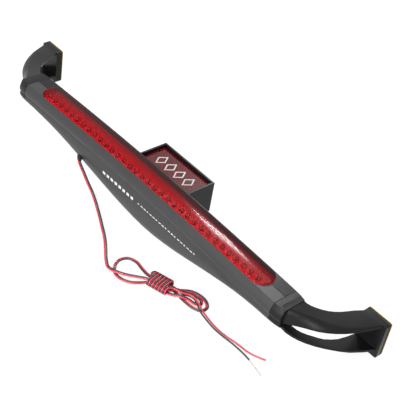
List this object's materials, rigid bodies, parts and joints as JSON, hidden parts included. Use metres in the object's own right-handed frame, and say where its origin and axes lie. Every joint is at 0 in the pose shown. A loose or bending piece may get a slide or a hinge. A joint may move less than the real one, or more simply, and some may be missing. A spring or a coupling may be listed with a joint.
{
  "type": "third brake light",
  "caption": "Long interior third brake light with a crowned red lens, a lit stop box and two swivelling arms that end in adhesive pads.",
  "frame": {"origin": "under the middle of the lamp as it lies on its back, without its cable", "axes": "+X along the bar, +Y from the belly to the adhesive pads, +Z out of the lens"},
  "size_m": [0.523, 0.1402, 0.0515],
  "materials": {
    "shell_black": "satin moulded ABS",
    "lens_red": "clear red acrylic",
    "window_smoked": "smoked red acrylic",
    "legend_film": "printed film behind the window",
    "reflector_red": "moulded red reflector",
    "led_epoxy": "clear red epoxy",
    "board": "solder mask",
    "ceramic": "lacquered resistor body",
    "diode_black": "moulded epoxy",
    "screw_steel": "zinc plated",
    "grommet_rubber": "soft black rubber",
    "foam": "closed cell foam",
    "liner_yellow": "waxed release film",
    "wire_red": "PVC insulation",
    "wire_black": "PVC insulation",
    "tinned_copper": "tinned strands"
  },
  "bodies": {
    "bar": {"belly_shell": "shell_black", "back_shell": "shell_black", "stop_housing": "shell_black", "stop_back_cover": "shell_black", "main_lens": "lens_red", "stop_window": "window_smoked", "stop_legend": "legend_film", "reflector": "reflector_red", "led_bank_1": "led_epoxy", "led_bank_2": "led_epoxy", "led_bank_3": "led_epoxy", "led_bank_4": "led_epoxy", "led_bank_5": "led_epoxy", "led_bank_6": "led_epoxy", "led_bank_7": "led_epoxy", "stop_led_bank_1": "led_epoxy", "stop_led_bank_2": "led_epoxy", "led_board": "board", "stop_led_board": "board", "resistor_1": "ceramic", "resistor_2": "ceramic", "resistor_3": "ceramic", "resistor_4": "ceramic", "diode": "diode_black", "shell_screw_1": "screw_steel", "shell_screw_2": "screw_steel", "shell_screw_3": "screw_steel", "shell_screw_4": "screw_steel", "shell_screw_5": "screw_steel", "shell_screw_6": "screw_steel", "stop_cover_screw_1": "screw_steel", "stop_cover_screw_2": "screw_steel", "stop_cover_screw_3": "screw_steel", "stop_cover_screw_4": "screw_steel", "stop_bracket_screw_1": "screw_steel", "stop_bracket_screw_2": "screw_steel", "cable_grommet": "grommet_rubber", "red_lead": "wire_red", "red_tail": "wire_red", "wire_hank": "wire_red", "black_lead": "wire_black", "black_tail": "wire_black", "red_bare_end": "tinned_copper", "black_bare_end": "tinned_copper"},
    "right_arm": {"right_arm": "shell_black", "right_swivel_washer": "screw_steel", "right_swivel_screw": "screw_steel", "right_foam_pad": "foam", "right_pad_liner": "liner_yellow"},
    "left_arm": {"left_arm": "shell_black", "left_swivel_washer": "screw_steel", "left_swivel_screw": "screw_steel", "left_foam_pad": "foam", "left_pad_liner": "liner_yellow"}
  },
  "joints": [
    {"name": "right_swivel", "type": "hinge", "parent": "bar", "child": "right_arm", "pos_m": [0.189, -0.0229, 0.0375], "axis": [1, 0, 0], "range_deg": [-25, 25]},
    {"name": "left_swivel", "type": "hinge", "parent": "bar", "child": "left_arm", "pos_m": [-0.189, -0.0229, 0.0375], "axis": [1, 0, 0], "range_deg": [-25, 25]}
  ]
}
